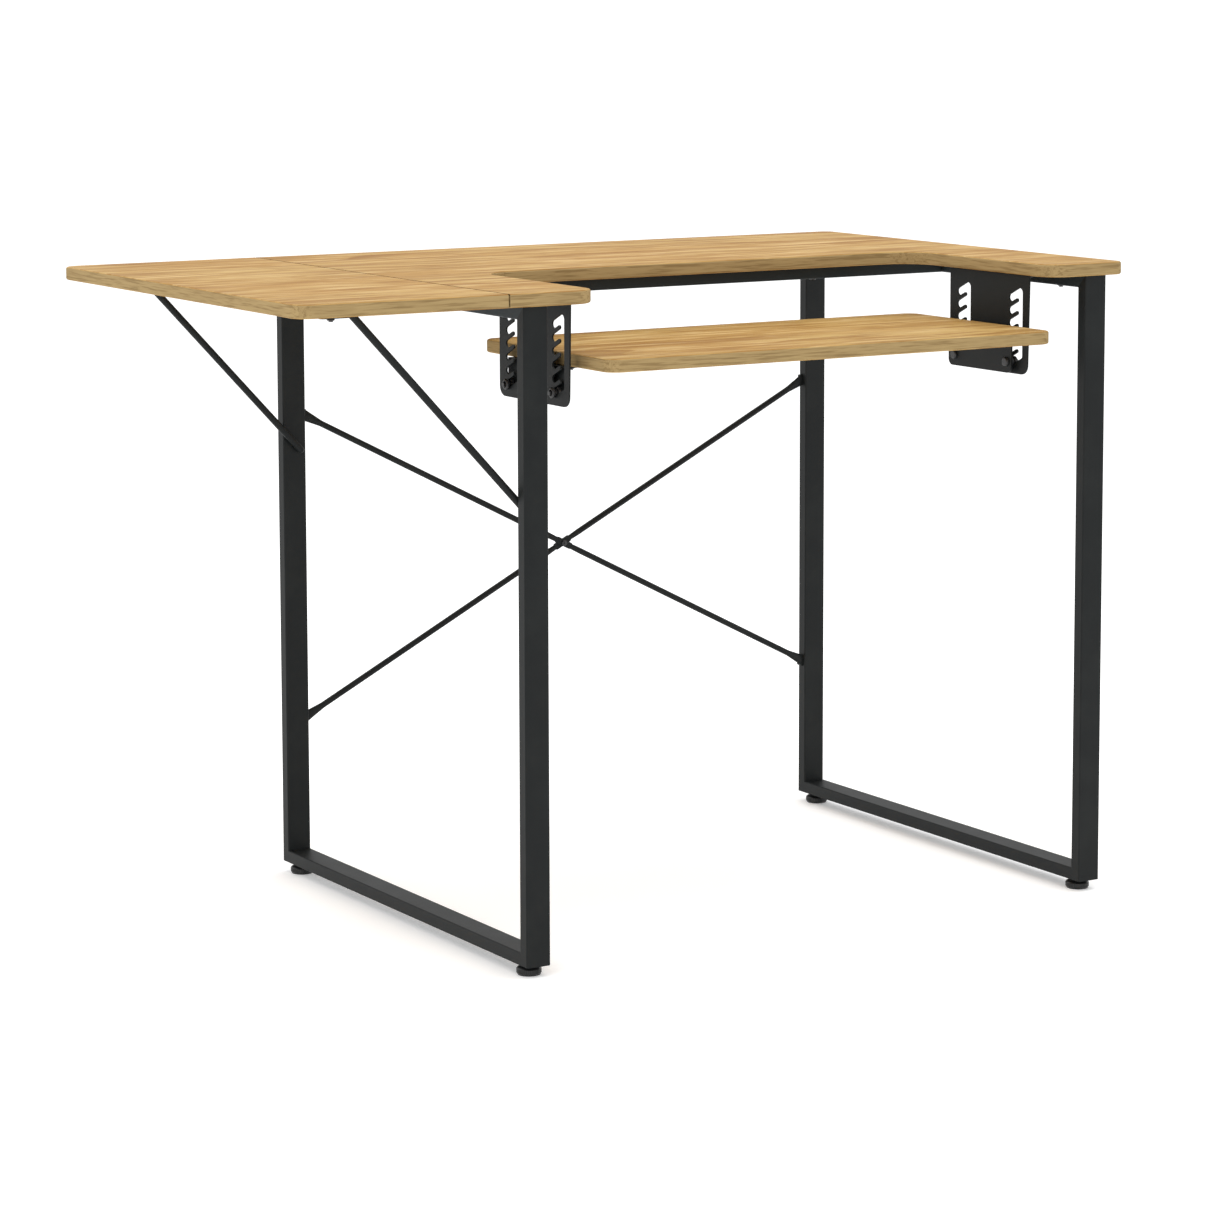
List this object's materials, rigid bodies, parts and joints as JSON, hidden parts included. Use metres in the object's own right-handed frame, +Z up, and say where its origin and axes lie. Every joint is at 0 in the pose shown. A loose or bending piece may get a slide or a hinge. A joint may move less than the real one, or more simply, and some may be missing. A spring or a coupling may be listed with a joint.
{
  "type": "craft desk",
  "caption": "Oak-look desk on black tube frames, with a front cut-out, a drop platform hung in notched plates, a fold-down side leaf on round struts and a crossed back brace.",
  "frame": {"origin": "on the floor, under the middle of the bounding box with the leaf up", "axes": "+X to the right along the desk, -Y towards the user and the cut-out, +Z up"},
  "size_m": [1.08, 0.631, 0.75],
  "materials": {
    "oak_laminate": "light oak laminate, satin",
    "black_frame": "satin charcoal-black powder coat",
    "black_hardware": "black, semi-gloss",
    "zinc_hardware": "zinc plated",
    "foot_plastic": "black, semi-gloss"
  },
  "bodies": {
    "stand": {"main_top": "oak_laminate", "left_front_leg": "black_frame", "left_back_leg": "black_frame", "left_bottom_bar": "black_frame", "left_top_rail": "black_frame", "left_notched_plate": "black_frame", "right_front_leg": "black_frame", "right_back_leg": "black_frame", "right_bottom_bar": "black_frame", "right_top_rail": "black_frame", "right_notched_plate": "black_frame", "cross_rail": "black_frame", "falling_brace": "black_frame", "rising_brace": "black_frame", "cross_rail_bolts": "black_hardware", "rail_screws": "black_hardware", "notched_plate_screws": "black_hardware", "brace_end_screws": "black_hardware", "brace_centre_bolt": "black_hardware", "brace_centre_nut": "black_hardware", "cross_rail_plugs": "zinc_hardware", "foot_inserts": "zinc_hardware", "hinge_pins": "zinc_hardware", "hinge_main_screws": "zinc_hardware", "hinge_main_flap_1": "zinc_hardware", "hinge_main_flap_2": "zinc_hardware", "hinge_main_flap_3": "zinc_hardware"},
    "leaf": {"side_leaf": "oak_laminate", "hinge_leaf_flap_1": "zinc_hardware", "hinge_leaf_flap_2": "zinc_hardware", "hinge_leaf_flap_3": "zinc_hardware", "hinge_leaf_screws": "zinc_hardware"},
    "platform": {"platform_board": "oak_laminate", "left_platform_hanger": "black_frame", "right_platform_hanger": "black_frame", "platform_hanger_screws": "black_hardware", "left_platform_pins": "black_hardware", "right_platform_pins": "black_hardware", "left_pin_caps": "black_hardware", "right_pin_caps": "black_hardware"},
    "front_strut_arm": {"front_strut": "black_frame", "front_strut_tab_screw": "black_hardware", "front_strut_clip": "black_hardware"},
    "back_strut_arm": {"back_strut": "black_frame", "back_strut_tab_screw": "black_hardware", "back_strut_clip": "black_hardware"},
    "front_left_foot": {"front_left_foot_pad": "foot_plastic", "front_left_foot_stud": "zinc_hardware"},
    "front_right_foot": {"front_right_foot_pad": "foot_plastic", "front_right_foot_stud": "zinc_hardware"},
    "back_left_foot": {"back_left_foot_pad": "foot_plastic", "back_left_foot_stud": "zinc_hardware"},
    "back_right_foot": {"back_right_foot_pad": "foot_plastic", "back_right_foot_stud": "zinc_hardware"}
  },
  "joints": [
    {"name": "leaf_fold", "type": "hinge", "parent": "stand", "child": "leaf", "pos_m": [-0.29, 0.007, 0.7319], "axis": [0, -1, 0], "range_deg": [0, 90]},
    {"name": "front_strut_swing", "type": "hinge", "parent": "stand", "child": "front_strut_arm", "pos_m": [-0.2605, -0.2718, 0.518], "axis": [0, -1, 0], "range_deg": [0, 137]},
    {"name": "back_strut_swing", "type": "hinge", "parent": "stand", "child": "back_strut_arm", "pos_m": [-0.2465, 0.2858, 0.518], "axis": [0, -1, 0], "range_deg": [0, 137]},
    {"name": "platform_unlatch", "type": "slide", "parent": "stand", "child": "platform", "axis": [0, -0.9063, 0.4226], "range_m": [0, 0.0175]},
    {"name": "front_left_foot_adjust", "type": "slide", "parent": "stand", "child": "front_left_foot", "axis": [0, 0, -1], "range_m": [0, 0.008]},
    {"name": "front_right_foot_adjust", "type": "slide", "parent": "stand", "child": "front_right_foot", "axis": [0, 0, -1], "range_m": [0, 0.008]},
    {"name": "back_left_foot_adjust", "type": "slide", "parent": "stand", "child": "back_left_foot", "axis": [0, 0, -1], "range_m": [0, 0.008]},
    {"name": "back_right_foot_adjust", "type": "slide", "parent": "stand", "child": "back_right_foot", "axis": [0, 0, -1], "range_m": [0, 0.008]}
  ],
  "couplings": [
    {"joint": "front_strut_swing", "follows": "leaf_fold", "ratio": 1.52},
    {"joint": "back_strut_swing", "follows": "leaf_fold", "ratio": 1.52}
  ]
}
